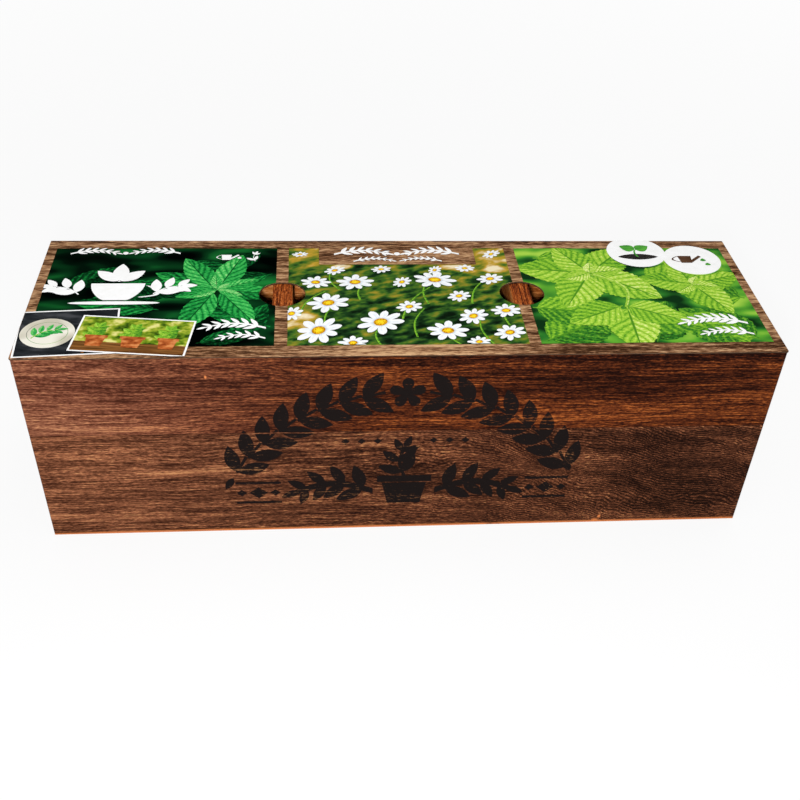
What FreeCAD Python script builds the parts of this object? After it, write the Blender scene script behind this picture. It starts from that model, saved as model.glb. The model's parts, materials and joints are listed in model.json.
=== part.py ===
import FreeCAD, Part

import math
import os
import re

import Sketcher

# Indoor herb planter: a long stained wooden box with three compartments, a flat
# printed card lid with two finger holes, and a liner, a pressed coir disc and a
# seed packet in each compartment. Millimetres and degrees. The origin is at the
# middle of the underside, +X runs to the right seen from the front, +Y to the
# back, +Z up.

SIZES = {
    # The box, measured over the boards
    "box_length": 364.6,
    "box_depth": 109.6,
    "box_height": 109.2,
    "board_thickness": 10,
    # Height of the glue seam between the lower and the upper boards
    "seam_height": 65,
    # Small chamfer along every glued seam, which leaves a fine V
    "seam_chamfer": 0.35,
    "edge_radius": 0.8,
    # What the front and back boards leave standing to cover the end boards
    "rebate_lip": 4,
    "bottom_thickness": 5,
    "bottom_raise": 4,
    "groove_depth": 3,
    "divider_thickness": 10,
    # Between the middles of the two dividers, and of the two finger holes
    "divider_spacing": 121.2,
    "divider_drop": 0.3,
    "dado_depth": 3,
    # Brads through the end boards into the front and back boards
    "brad_diameter": 1.4,
    "brad_length": 22,
    "brad_head_diameter": 2.4,
    "brad_head_thickness": 0.6,
    "brad_sink": 0.3,
    "brad_clearance": 0.05,
    "brad_edge_distance": 14,
    # The lid
    "lid_overhang": 0.2,
    "lid_board_thickness": 0.6,
    "lid_print_thickness": 0.2,
    "lid_corner_radius": 0.5,
    "finger_hole_diameter": 23,
    # The liners, one moulding in all three compartments
    "liner_clearance": 1,
    "liner_rim_drop": 33.2,
    "liner_rim_width": 3,
    "liner_rim_lip": 3.5,
    "liner_wall": 0.8,
    # How much the base is drawn in on each side
    "liner_taper": 3,
    "liner_corner_radius": 12,
    "liner_base_radius": 4,
    # The pressed coir discs
    "disc_clearance": 6,
    "disc_thickness": 13,
    "disc_edge_radius": 2.5,
    # The seed packets, each turned a little on its disc
    "packet_clearance": 7,
    "packet_thickness": 1.8,
    "packet_edge_thickness": 0.9,
    "packet_slope_width": 6,
    "left_packet_turn": 6,
    "middle_packet_turn": -4,
    "right_packet_turn": 3,
    # How far a cutting shape runs past what it cuts
    "overrun": 2,
}

# Places and sizes that follow from the sheet, as formulas in its aliases
HALF_LENGTH = "(box_length / 2)"
HALF_DEPTH = "(box_depth / 2)"
INSIDE_HALF_LENGTH = "(box_length / 2 - board_thickness)"
INSIDE_HALF_DEPTH = "(box_depth / 2 - board_thickness)"
END_BOARD_HALF_WIDTH = "(box_depth / 2 - rebate_lip)"
DIVIDER_MIDDLE = "(divider_spacing / 2)"
DIVIDER_OUTSIDE = "(divider_spacing / 2 + divider_thickness / 2)"
FLOOR_HEIGHT = "(bottom_raise + bottom_thickness)"
BRAD_LINE = f"(({END_BOARD_HALF_WIDTH} + {INSIDE_HALF_DEPTH}) / 2)"
END_COMPARTMENT = f"({INSIDE_HALF_LENGTH} - {DIVIDER_OUTSIDE})"
END_COMPARTMENT_MIDDLE = f"(({INSIDE_HALF_LENGTH} + {DIVIDER_OUTSIDE}) / 2)"
MIDDLE_COMPARTMENT = "(divider_spacing - divider_thickness)"
LINER_HEIGHT = f"(box_height - liner_rim_drop - {FLOOR_HEIGHT})"
RIM_HALF_LENGTH = f"(min({END_COMPARTMENT}; {MIDDLE_COMPARTMENT}) / 2 - liner_clearance)"
RIM_HALF_DEPTH = f"({INSIDE_HALF_DEPTH} - liner_clearance)"
MOUTH_HALF_LENGTH = f"({RIM_HALF_LENGTH} - liner_rim_width)"
MOUTH_HALF_DEPTH = f"({RIM_HALF_DEPTH} - liner_rim_width)"
BASE_HALF_LENGTH = f"({MOUTH_HALF_LENGTH} - liner_taper)"
BASE_HALF_DEPTH = f"({MOUTH_HALF_DEPTH} - liner_taper)"
COMPARTMENTS = {"left": f"-{END_COMPARTMENT_MIDDLE}", "middle": None, "right": END_COMPARTMENT_MIDDLE}

# Two coordinates closer than this are the same
SAME_PLACE = 1e-6

document = FreeCAD.newDocument("herb_planter")
sheet = document.addObject("Spreadsheet::Sheet", "Sizes")
for row, (alias, value) in enumerate(SIZES.items(), start=1):
    sheet.set(f"A{row}", alias)
    sheet.set(f"B{row}", str(value))
    sheet.setAlias(f"B{row}", alias)
document.recompute()


def bind(thing, prop, formula):
    """Bind a property to a formula written in the sheet's aliases."""

    def in_sheet(word):
        return "Sizes." + word.group() if word.group() in SIZES else word.group()

    thing.setExpression(prop, re.sub(r"[a-z][a-z_]*", in_sheet, formula))


def place_at(thing, x=None, y=None, z=None):
    """Bind an object's place to formulas; an axis left out stays at zero."""
    for axis, formula in (("x", x), ("y", y), ("z", z)):
        if formula:
            bind(thing, f"Placement.Base.{axis}", formula)


def new_body(label, turned=False):
    """A body with its label, turned half round the upright axis where asked."""
    body = document.addObject("PartDesign::Body", label)
    body.Label = label
    if turned:
        body.Placement.Rotation = FreeCAD.Rotation(FreeCAD.Vector(0, 0, 1), 180)
    return body


def origin_plane(body, role):
    return next(item for item in body.Origin.OriginFeatures if item.Role == role)


def new_sketch(body, name, role, offset=None):
    """A sketch on one of the body's origin planes, moved along its normal by a formula."""
    sketch = body.newObject("Sketcher::SketchObject", name)
    sketch.AttachmentSupport = [(origin_plane(body, role), "")]
    sketch.MapMode = "FlatFace"
    if offset:
        bind(sketch, "AttachmentOffset.Base.z", offset)
    return sketch


def hold_point(sketch, geometry, point, across, up):
    """Hold a point of a sketch at two formulas; one left out keeps it on that axis."""
    start = sketch.getPoint(geometry, point)
    for kind, axis, value, formula in (
        ("DistanceX", -2, start.x, across),
        ("DistanceY", -1, start.y, up),
    ):
        if formula is None:
            sketch.addConstraint(Sketcher.Constraint("PointOnObject", geometry, point, axis))
            continue
        index = sketch.addConstraint(Sketcher.Constraint(kind, -1, 1, geometry, point, value))
        bind(sketch, f"Constraints[{index}]", formula)


def add_rectangle(sketch, left, right, low, high):
    """A rectangle whose two opposite corners are held at formulas."""
    corners = [FreeCAD.Vector(x, y, 0) for x, y in ((-1, -1), (1, -1), (1, 1), (-1, 1))]
    first = sketch.GeometryCount
    for number in range(4):
        sketch.addGeometry(Part.LineSegment(corners[number], corners[(number + 1) % 4]), False)
    for number in range(4):
        side = first + number
        following = first + (number + 1) % 4
        sketch.addConstraint(Sketcher.Constraint("Coincident", side, 2, following, 1))
        sketch.addConstraint(Sketcher.Constraint("Vertical" if number % 2 else "Horizontal", side))
    hold_point(sketch, first, 1, left, low)
    hold_point(sketch, first + 2, 1, right, high)


def add_circle(sketch, across, up, diameter):
    """A circle with its middle held at two formulas."""
    circle = Part.Circle(FreeCAD.Vector(1, 1, 0), FreeCAD.Vector(0, 0, 1), 1)
    index = sketch.addGeometry(circle, False)
    hold_point(sketch, index, 3, across, up)
    size = sketch.addConstraint(Sketcher.Constraint("Diameter", index, 1))
    bind(sketch, f"Constraints[{size}]", diameter)


def add_rounded_rectangle(sketch, half_across, half_up, radius):
    """A rectangle round the origin with round corners."""
    sides = [((-1, -2), (1, -2)), ((2, -1), (2, 1)), ((1, 2), (-1, 2)), ((-2, 1), (-2, -1))]
    corners = [(1, -1), (1, 1), (-1, 1), (-1, -1)]
    lines = []
    for (x1, y1), (x2, y2) in sides:
        line = Part.LineSegment(FreeCAD.Vector(x1, y1, 0), FreeCAD.Vector(x2, y2, 0))
        lines.append(sketch.addGeometry(line, False))
    arcs = []
    for number, (x, y) in enumerate(corners):
        circle = Part.Circle(FreeCAD.Vector(x, y, 0), FreeCAD.Vector(0, 0, 1), 1)
        start = math.radians(90 * (number - 1))
        arc = Part.ArcOfCircle(circle, start, start + math.radians(90))
        arcs.append(sketch.addGeometry(arc, False))
    for number in range(4):
        following = lines[(number + 1) % 4]
        sketch.addConstraint(Sketcher.Constraint("Tangent", lines[number], 2, arcs[number], 1))
        sketch.addConstraint(Sketcher.Constraint("Tangent", arcs[number], 2, following, 1))
        level = "Vertical" if number % 2 else "Horizontal"
        sketch.addConstraint(Sketcher.Constraint(level, lines[number]))
    for arc in arcs[1:]:
        sketch.addConstraint(Sketcher.Constraint("Equal", arcs[0], arc))
    index = sketch.addConstraint(Sketcher.Constraint("Radius", arcs[0], 1))
    bind(sketch, f"Constraints[{index}]", radius)
    for line, kind, value, formula in (
        (lines[0], "DistanceY", -2, "-" + half_up),
        (lines[1], "DistanceX", 2, half_across),
        (lines[2], "DistanceY", 2, half_up),
        (lines[3], "DistanceX", -2, "-" + half_across),
    ):
        index = sketch.addConstraint(Sketcher.Constraint(kind, -1, 1, line, 1, value))
        bind(sketch, f"Constraints[{index}]", formula)


def centred_rectangle(body, name, half_across, half_up, offset=None, radius=None):
    """A sketch of a rectangle round the body's upright axis, with round corners where asked."""
    sketch = new_sketch(body, name, "XY_Plane", offset)
    if radius:
        add_rounded_rectangle(sketch, half_across, half_up, radius)
    else:
        add_rectangle(sketch, "-" + half_across, half_across, "-" + half_up, half_up)
    return sketch


def built(feature, cutting=False):
    """Build a new feature, and stop at once if it fails or a cut takes nothing away."""
    document.recompute()
    if feature.Shape.isNull() or "Invalid" in feature.State:
        raise RuntimeError(f"{feature.Label} of {feature.getParent().Label} failed: {feature.State}")
    if cutting and feature.Shape.Volume >= feature.BaseFeature.Shape.Volume:
        raise RuntimeError(f"{feature.Label} of {feature.getParent().Label} cuts nothing")
    return feature


def pad(body, sketch, length, downwards=False):
    """Raise a sketch into a solid."""
    feature = body.newObject("PartDesign::Pad", "Pad")
    feature.Profile = sketch
    feature.Reversed = downwards
    bind(feature, "Length", length)
    return built(feature)


def cut_through(body, sketch):
    """Cut a sketch through the whole solid, both ways."""
    feature = body.newObject("PartDesign::Pocket", "CutThrough")
    feature.Profile = sketch
    feature.Type = "ThroughAll"
    feature.Midplane = True
    return built(feature, cutting=True)


def cut(body, sketch, depth, along_normal):
    """Cut a sketch to a depth, along its plane's normal or against it."""
    feature = body.newObject("PartDesign::Pocket", "Cut")
    feature.Profile = sketch
    feature.Reversed = along_normal
    bind(feature, "Length", depth)
    return built(feature, cutting=True)


def loft(body, low_sketch, high_sketch, cutting=False):
    """A ruled loft between two sketches, taken away where asked."""
    kind = "PartDesign::SubtractiveLoft" if cutting else "PartDesign::AdditiveLoft"
    feature = body.newObject(kind, "Loft")
    feature.Profile = low_sketch
    feature.Sections = [high_sketch]
    feature.Ruled = True
    return built(feature, cutting)


def mirror(body, feature, role):
    """Repeat a feature on the other side of one of the body's origin planes."""
    copy = body.newObject("PartDesign::Mirrored", "Mirror")
    copy.Originals = [feature]
    copy.MirrorPlane = (origin_plane(body, role), [""])
    body.Tip = copy
    return built(copy)


def dress_edges(body, kind, prop, size, wanted):
    """Round or chamfer the edges of a body that pass a test on their end points."""
    last = body.Tip
    names = []
    for number, edge in enumerate(last.Shape.Edges, start=1):
        if wanted([vertex.Point for vertex in edge.Vertexes]):
            names.append(f"Edge{number}")
    feature = body.newObject(kind, "Edges")
    feature.Base = (last, names)
    bind(feature, prop, size)
    return built(feature)


def round_edges(body, radius, wanted):
    return dress_edges(body, "PartDesign::Fillet", "Radius", radius, wanted)


def chamfer_edges(body, size, wanted):
    return dress_edges(body, "PartDesign::Chamfer", "Size", size, wanted)


def lowest(body, axis):
    return min(getattr(vertex.Point, axis) for vertex in body.Tip.Shape.Vertexes)


def highest(body, axis):
    return max(getattr(vertex.Point, axis) for vertex in body.Tip.Shape.Vertexes)


def all_at(points, axis, value):
    """Whether all points lie at one coordinate."""
    return all(abs(getattr(point, axis) - value) < SAME_PLACE for point in points)


def upright(points):
    """Whether an edge's two end points lie above each other."""
    if len(points) < 2:
        return False
    return all_at(points, "x", points[0].x) and all_at(points, "y", points[0].y)


def brad_heights(low, high):
    """The two heights at which brads go through a board."""
    return [f"({low} + brad_edge_distance)", f"({high} - brad_edge_distance)"]


def long_board(label, low, high, turned):
    """A front board, or a back one where turned: rebates, dadoes, a groove and brad holes."""
    lower_one = low == "0"
    body = new_body(label, turned)
    offset = None if lower_one else low
    sketch = new_sketch(body, "Outline", "XY_Plane", offset)
    add_rectangle(sketch, "-" + HALF_LENGTH, HALF_LENGTH, "-" + HALF_DEPTH, "-" + INSIDE_HALF_DEPTH)
    pad(body, sketch, f"{high} - {low}")

    # Rebates that house the end boards
    past_inside = f"-{INSIDE_HALF_DEPTH} + overrun"
    sketch = new_sketch(body, "Rebate", "XY_Plane")
    add_rectangle(
        sketch, INSIDE_HALF_LENGTH, f"{HALF_LENGTH} + overrun", "-" + END_BOARD_HALF_WIDTH, past_inside
    )
    mirror(body, cut_through(body, sketch), "YZ_Plane")

    # Dadoes that hold the dividers, from the bottom board up
    dado_start = FLOOR_HEIGHT if lower_one else low
    sketch = new_sketch(body, "Dado", "XY_Plane", dado_start)
    add_rectangle(
        sketch,
        f"{DIVIDER_MIDDLE} - divider_thickness / 2",
        DIVIDER_OUTSIDE,
        f"-{INSIDE_HALF_DEPTH} - dado_depth",
        past_inside,
    )
    dado = cut(body, sketch, f"{high} - {dado_start} + overrun", along_normal=True)
    mirror(body, dado, "YZ_Plane")

    # Groove that carries the bottom board
    if lower_one:
        sketch = new_sketch(body, "Groove", "YZ_Plane")
        add_rectangle(
            sketch, f"-{INSIDE_HALF_DEPTH} - groove_depth", past_inside, "bottom_raise", FLOOR_HEIGHT
        )
        cut_through(body, sketch)

    # Brad holes from the shoulders of the rebates inwards
    sketch = new_sketch(body, "BradHoles", "YZ_Plane", INSIDE_HALF_LENGTH)
    for height in brad_heights(low, high):
        add_circle(sketch, "-" + BRAD_LINE, height, "brad_diameter + 2 * brad_clearance")
    depth = "brad_sink + brad_length - board_thickness + brad_clearance"
    mirror(body, cut(body, sketch, depth, along_normal=False), "YZ_Plane")

    front = lowest(body, "y")
    inside = highest(body, "y")
    left = lowest(body, "x")
    right = highest(body, "x")
    bottom = lowest(body, "z")
    top = highest(body, "z")
    seam = top if lower_one else bottom
    rim = bottom if lower_one else top
    lip = front + SIZES["rebate_lip"]
    chamfer_edges(
        body,
        "seam_chamfer",
        lambda points: upright(points)
        and all_at(points, "y", lip)
        and (all_at(points, "x", left) or all_at(points, "x", right)),
    )
    round_edges(
        body,
        "edge_radius",
        lambda points: (all_at(points, "y", front) and not all_at(points, "z", seam))
        or (all_at(points, "z", rim) and all_at(points, "y", inside) and not lower_one),
    )
    chamfer_edges(
        body,
        "seam_chamfer",
        lambda points: all_at(points, "z", seam) and all_at(points, "y", front),
    )
    return body


def end_board(label, low, high, turned):
    """A left end board, or a right one where turned, which fits between the two rebates."""
    lower_one = low == "0"
    body = new_body(label, turned)
    offset = None if lower_one else low
    sketch = new_sketch(body, "Outline", "XY_Plane", offset)
    add_rectangle(
        sketch, "-" + HALF_LENGTH, "-" + INSIDE_HALF_LENGTH, "-" + END_BOARD_HALF_WIDTH, END_BOARD_HALF_WIDTH
    )
    pad(body, sketch, f"{high} - {low}")

    if lower_one:
        sketch = new_sketch(body, "Groove", "XZ_Plane")
        add_rectangle(
            sketch,
            f"-{INSIDE_HALF_LENGTH} - groove_depth",
            f"-{INSIDE_HALF_LENGTH} + overrun",
            "bottom_raise",
            FLOOR_HEIGHT,
        )
        cut_through(body, sketch)

    # Brad holes, wider where the heads sink in
    for name, diameter, depth in (
        ("BradHoles", "brad_diameter", "board_thickness + overrun"),
        ("HeadHoles", "brad_head_diameter", "brad_sink + brad_head_thickness"),
    ):
        sketch = new_sketch(body, name, "YZ_Plane", "-" + HALF_LENGTH)
        for height in brad_heights(low, high):
            for side in ("-", ""):
                add_circle(sketch, side + BRAD_LINE, height, f"{diameter} + 2 * brad_clearance")
        cut(body, sketch, depth, along_normal=True)

    outside = lowest(body, "x")
    inside = highest(body, "x")
    bottom = lowest(body, "z")
    top = highest(body, "z")
    seam = top if lower_one else bottom
    rim = bottom if lower_one else top
    side = highest(body, "y")
    round_edges(
        body,
        "edge_radius",
        lambda points: all_at(points, "z", rim)
        and (all_at(points, "x", outside) or (all_at(points, "x", inside) and not lower_one)),
    )
    chamfer_edges(
        body,
        "seam_chamfer",
        lambda points: all_at(points, "x", outside)
        and (
            all_at(points, "z", seam)
            or (upright(points) and (all_at(points, "y", side) or all_at(points, "y", -side)))
        ),
    )
    return body


def bottom_board():
    """The bottom, whose edges sit in the grooves."""
    body = new_body("bottom_board")
    sketch = centred_rectangle(
        body,
        "Outline",
        f"({INSIDE_HALF_LENGTH} + groove_depth)",
        f"({INSIDE_HALF_DEPTH} + groove_depth)",
        "bottom_raise",
    )
    pad(body, sketch, "bottom_thickness")
    return body


def divider(label, side):
    """A divider, which stands on the bottom with its ends in the dadoes."""
    body = new_body(label)
    place_at(body, x=side + DIVIDER_MIDDLE)
    sketch = centred_rectangle(
        body, "Outline", "(divider_thickness / 2)", f"({INSIDE_HALF_DEPTH} + dado_depth)", FLOOR_HEIGHT
    )
    pad(body, sketch, f"box_height - divider_drop - {FLOOR_HEIGHT}")
    top = highest(body, "z")
    round_edges(
        body,
        "edge_radius",
        lambda points: all_at(points, "z", top) and all_at(points, "x", points[0].x),
    )
    return body


def brad(name, inwards, x, y, z):
    """One brad: a shank and a flat head, both starting at the sunk outer face of the head."""
    along_x = FreeCAD.Rotation(FreeCAD.Vector(0, 1, 0), 90 * inwards)
    shank = document.addObject("Part::Cylinder", name + "_shank")
    bind(shank, "Radius", "brad_diameter / 2")
    bind(shank, "Height", "brad_length")
    head = document.addObject("Part::Cylinder", name + "_head")
    bind(head, "Radius", "brad_head_diameter / 2")
    bind(head, "Height", "brad_head_thickness")
    for cylinder in (shank, head):
        cylinder.Placement.Rotation = along_x
        place_at(cylinder, x, y, z)
    whole = document.addObject("Part::Fuse", name)
    whole.Base = shank
    whole.Tool = head
    return whole


def end_brads(label, outwards):
    """The eight brads of one end, two through each end board into each long board."""
    start = f"{outwards}{HALF_LENGTH} {'+' if outwards == '-' else '-'} brad_sink"
    inwards = 1 if outwards == "-" else -1
    brads = []
    for low, high in (("0", "seam_height"), ("seam_height", "box_height")):
        for height in brad_heights(low, high):
            for side in ("-", ""):
                name = f"{label}_{len(brads) + 1}"
                brads.append(brad(name, inwards, start, side + BRAD_LINE, height))
    group = document.addObject("Part::Compound", label)
    group.Label = label
    group.Links = brads
    document.recompute()
    return group


def lid_sheet(label, low, thickness):
    """One layer of the lid, with the two finger holes over the dividers."""
    body = new_body(label)
    sketch = centred_rectangle(
        body,
        "Outline",
        f"({HALF_LENGTH} + lid_overhang)",
        f"({HALF_DEPTH} + lid_overhang)",
        low,
        "lid_corner_radius",
    )
    pad(body, sketch, thickness)
    sketch = new_sketch(body, "FingerHoles", "XY_Plane", low)
    for side in ("-", ""):
        add_circle(sketch, side + DIVIDER_MIDDLE, None, "finger_hole_diameter")
    cut_through(body, sketch)
    return body


def liner(label, middle):
    """A thin moulded liner with drawn-in sides and a rim that turns down."""
    body = new_body(label)
    place_at(body, x=middle, z=FLOOR_HEIGHT)

    # The tub and its hollow, a wall's thickness inside it
    for inset, low, cutting in (("0", "0", False), ("liner_wall", "liner_wall", True)):
        radius = f"liner_corner_radius - {inset}"
        base = centred_rectangle(
            body, "Base", f"({BASE_HALF_LENGTH} - {inset})", f"({BASE_HALF_DEPTH} - {inset})", low, radius
        )
        mouth = centred_rectangle(
            body,
            "Mouth",
            f"({MOUTH_HALF_LENGTH} - {inset})",
            f"({MOUTH_HALF_DEPTH} - {inset})",
            LINER_HEIGHT,
            radius,
        )
        loft(body, base, mouth, cutting)
    floor_height = SIZES["liner_wall"]
    round_edges(
        body, "liner_base_radius - liner_wall", lambda points: all_at(points, "z", floor_height)
    )
    round_edges(body, "liner_base_radius", lambda points: all_at(points, "z", 0))

    # The rim, flat and then turned down
    rim_radius = "(liner_corner_radius + liner_rim_width)"
    for name, inner_half_length, inner_half_depth, inner_radius, length in (
        (
            "Rim",
            f"({MOUTH_HALF_LENGTH} - liner_wall / 2)",
            f"({MOUTH_HALF_DEPTH} - liner_wall / 2)",
            "liner_corner_radius - liner_wall / 2",
            "liner_wall",
        ),
        (
            "Lip",
            f"({RIM_HALF_LENGTH} - liner_wall)",
            f"({RIM_HALF_DEPTH} - liner_wall)",
            f"{rim_radius} - liner_wall",
            "liner_rim_lip",
        ),
    ):
        sketch = centred_rectangle(
            body, name, RIM_HALF_LENGTH, RIM_HALF_DEPTH, LINER_HEIGHT, rim_radius
        )
        add_rounded_rectangle(sketch, inner_half_length, inner_half_depth, inner_radius)
        pad(body, sketch, length, downwards=True)
    return body


def coir_disc(label, middle):
    """A pressed disc of coir, lying on the liner's floor."""
    body = new_body(label)
    place_at(body, x=middle, z=f"{FLOOR_HEIGHT} + liner_wall")
    sketch = new_sketch(body, "Outline", "XY_Plane")
    narrower_half = f"min({BASE_HALF_LENGTH}; {BASE_HALF_DEPTH})"
    add_circle(sketch, None, None, f"2 * ({narrower_half} - liner_wall - disc_clearance)")
    pad(body, sketch, "disc_thickness")
    round_edges(body, "disc_edge_radius", lambda points: len(points) == 1)
    return body


def seed_packet(label, middle, turn):
    """A flat paper packet, thicker in the middle, lying turned on the disc."""
    body = new_body(label)
    place_at(body, x=middle, z=f"{FLOOR_HEIGHT} + liner_wall + disc_thickness")
    bind(body, "Placement.Rotation.Angle", turn)
    half_length = f"({BASE_HALF_LENGTH} - liner_wall - packet_clearance)"
    half_width = f"({BASE_HALF_DEPTH} - liner_wall - packet_clearance)"
    pad(body, centred_rectangle(body, "Outline", half_length, half_width), "packet_edge_thickness")
    edge = centred_rectangle(body, "Edge", half_length, half_width, "packet_edge_thickness")
    top = centred_rectangle(
        body,
        "Top",
        f"({half_length} - packet_slope_width)",
        f"({half_width} - packet_slope_width)",
        "packet_thickness",
    )
    loft(body, edge, top)
    return body


nodes = [
    long_board("front_lower_board", "0", "seam_height", turned=False),
    long_board("front_upper_board", "seam_height", "box_height", turned=False),
    long_board("back_lower_board", "0", "seam_height", turned=True),
    long_board("back_upper_board", "seam_height", "box_height", turned=True),
    end_board("left_end_lower_board", "0", "seam_height", turned=False),
    end_board("left_end_upper_board", "seam_height", "box_height", turned=False),
    end_board("right_end_lower_board", "0", "seam_height", turned=True),
    end_board("right_end_upper_board", "seam_height", "box_height", turned=True),
    bottom_board(),
    divider("left_divider", "-"),
    divider("right_divider", ""),
    end_brads("left_end_brads", "-"),
    end_brads("right_end_brads", ""),
    lid_sheet("lid_board", "box_height", "lid_board_thickness"),
    lid_sheet("lid_print", "(box_height + lid_board_thickness)", "lid_print_thickness"),
]
for compartment, middle in COMPARTMENTS.items():
    nodes.append(liner(f"{compartment}_liner", middle))
    nodes.append(coir_disc(f"{compartment}_coir_disc", middle))
    nodes.append(seed_packet(f"{compartment}_seed_packet", middle, f"{compartment}_packet_turn"))
document.recompute()

# Nothing is written unless every object is sound
for thing in document.Objects:
    if "Invalid" in thing.State or "Error" in thing.State:
        raise RuntimeError(f"{thing.Label} failed: {thing.State}")
for node in nodes:
    if node.Shape.isNull() or not node.Shape.isValid() or not node.Shape.Solids:
        raise RuntimeError(f"{node.Label} has no sound shape")

os.makedirs("parts", exist_ok=True)
for node in nodes:
    node.Shape.exportStep(f"parts/{node.Label}.step")
    print(f"{node.Label}: {len(node.Shape.Solids)} solids, {node.Shape.Volume / 1000:.2f} cm3")
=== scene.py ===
"""Indoor herb planter: a stained wooden box with three liners under a printed card lid."""

import json
from math import atan, cos, degrees, exp, log, pi, radians, sin

import bmesh
import bpy
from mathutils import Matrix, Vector

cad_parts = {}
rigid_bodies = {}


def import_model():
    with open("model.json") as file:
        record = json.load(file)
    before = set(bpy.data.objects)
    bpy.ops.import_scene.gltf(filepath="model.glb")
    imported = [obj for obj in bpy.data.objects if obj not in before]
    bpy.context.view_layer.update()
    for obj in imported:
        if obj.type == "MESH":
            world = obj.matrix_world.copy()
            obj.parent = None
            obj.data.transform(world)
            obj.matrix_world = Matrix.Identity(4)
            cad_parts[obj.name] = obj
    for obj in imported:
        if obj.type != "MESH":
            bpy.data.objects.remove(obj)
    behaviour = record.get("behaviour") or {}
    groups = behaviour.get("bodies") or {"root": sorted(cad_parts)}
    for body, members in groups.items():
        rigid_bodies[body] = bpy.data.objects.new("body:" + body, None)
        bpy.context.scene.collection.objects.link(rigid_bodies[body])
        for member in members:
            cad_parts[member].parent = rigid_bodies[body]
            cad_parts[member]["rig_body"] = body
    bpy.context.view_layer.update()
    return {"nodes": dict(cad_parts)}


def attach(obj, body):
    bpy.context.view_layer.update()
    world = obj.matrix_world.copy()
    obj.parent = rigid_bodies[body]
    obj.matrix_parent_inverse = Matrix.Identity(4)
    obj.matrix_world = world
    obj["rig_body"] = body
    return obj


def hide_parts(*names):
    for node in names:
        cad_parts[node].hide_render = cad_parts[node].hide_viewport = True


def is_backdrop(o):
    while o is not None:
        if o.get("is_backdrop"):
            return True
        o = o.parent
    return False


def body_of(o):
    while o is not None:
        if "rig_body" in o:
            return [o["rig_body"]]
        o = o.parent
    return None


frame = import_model()
NODES = frame["nodes"]

MM = 0.001


# Camera: the photograph's place, lens and framing.

camera_data = bpy.data.cameras.new("Camera")
camera_data.lens = 47.26
camera_data.sensor_width = 36.0
camera_data.shift_x = -0.025
camera_data.shift_y = 0.1371
camera = bpy.data.objects.new("Camera", camera_data)
camera.location = (-0.042321, -0.464267, 0.384974)
camera.rotation_euler = [radians(turn) for turn in (47.8465, -2.533, -4.7422)]
bpy.context.scene.collection.objects.link(camera)
bpy.context.scene.camera = camera


# Material helpers.

def linear(hex_colour):
    """An sRGB hex colour as linear RGBA."""
    channels = [int(hex_colour[i:i + 2], 16) / 255 for i in (1, 3, 5)]
    return [c / 12.92 if c <= 0.04045 else ((c + 0.055) / 1.055) ** 2.4 for c in channels] + [1.0]


def node(tree, kind, inputs=None, out=0, stops=(), **settings):
    """Adds a node, sets it, links or fills its inputs and returns one of its outputs."""
    added = tree.nodes.new("ShaderNode" + kind)
    for name, value in settings.items():
        setattr(added, name, value)
    for name, value in (inputs or {}).items():
        if isinstance(value, bpy.types.NodeSocket):
            tree.links.new(value, added.inputs[name])
        else:
            added.inputs[name].default_value = value
    for index, (place, colour) in enumerate(stops):
        ramp = added.color_ramp.elements
        stop = ramp[index] if index < 2 else ramp.new(place)
        stop.position = place
        stop.color = linear(colour)
    return added.outputs[out]


def new_finish(name, roughness, colour=None, **surface_values):
    """A material. Returns it, its node tree and its surface shader."""
    material = bpy.data.materials.new(name)
    material.use_nodes = True
    surface = material.node_tree.nodes["Principled BSDF"]
    surface.inputs["Roughness"].default_value = roughness
    if colour:
        surface.inputs["Base Color"].default_value = linear(colour)
    for socket, value in surface_values.items():
        surface.inputs[socket.replace("_", " ")].default_value = value
    return material, material.node_tree, surface


def put(surface, **values):
    """Links these values to the surface's sockets."""
    for socket, value in values.items():
        surface.id_data.links.new(value, surface.inputs[socket.replace("_", " ")])


def millimetres(tree, turn=0.0):
    """The place on the object in millimetres, turned so that X lies along the grain."""
    place = node(tree, "TexCoord", out="Object")
    return node(tree, "Mapping", {
        "Vector": place, "Scale": (1000.0, 1000.0, 1000.0), "Rotation": (0.0, 0.0, radians(turn)),
    })


def streaks(tree, point, length, width, detail=3.0, roughness=0.6):
    """Uneven streaks, 0 to 1, about this long in X and this wide across it, in millimetres."""
    stretched = node(tree, "Mapping", {"Vector": point, "Scale": (1 / length, 1 / width, 1 / width)})
    return node(tree, "TexNoise", {
        "Vector": stretched, "Scale": 1.0, "Detail": detail, "Roughness": roughness,
    })


def pushed_sideways(tree, point, amount):
    """point moved across the grain by amount, so that the fibres aren't ruled lines."""
    sideways = node(tree, "CombineXYZ", {"Y": amount, "Z": amount})
    return node(tree, "VectorMath", {0: point, 1: sideways}, operation="ADD")


def sway(tree, noise, reach):
    """A noise from 0 to 1 as a push from -reach to reach."""
    centred = node(tree, "Math", {0: noise, 1: 0.5}, operation="SUBTRACT")
    return node(tree, "Math", {0: centred, 1: 2 * reach}, operation="MULTIPLY")


def weighted(tree, level, *shares):
    """The level plus each value times its weight."""
    for value, weight in shares:
        level = node(tree, "Math", {0: value, 1: weight, 2: level}, operation="MULTIPLY_ADD")
    return level


def patch(tree, point, centre, half_sizes):
    """1 around a place, fading to 0 at its half sizes in millimetres."""
    reach = node(tree, "Mapping", {"Vector": point, "Location": centre, "Scale": half_sizes},
                 vector_type="TEXTURE")
    distance = node(tree, "VectorMath", {0: reach}, out="Value", operation="LENGTH")
    return node(tree, "MapRange", {"Value": distance, "From Min": 1.0, "From Max": 0.3}, **EASED)


def patched(tree, point, tone, patches):
    """The tone, lighter or darker at some places: centre, half sizes and the amount of each."""
    return weighted(tree, tone, *[(patch(tree, point, centre, half_sizes), amount)
                                  for centre, half_sizes, amount in patches])


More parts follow.
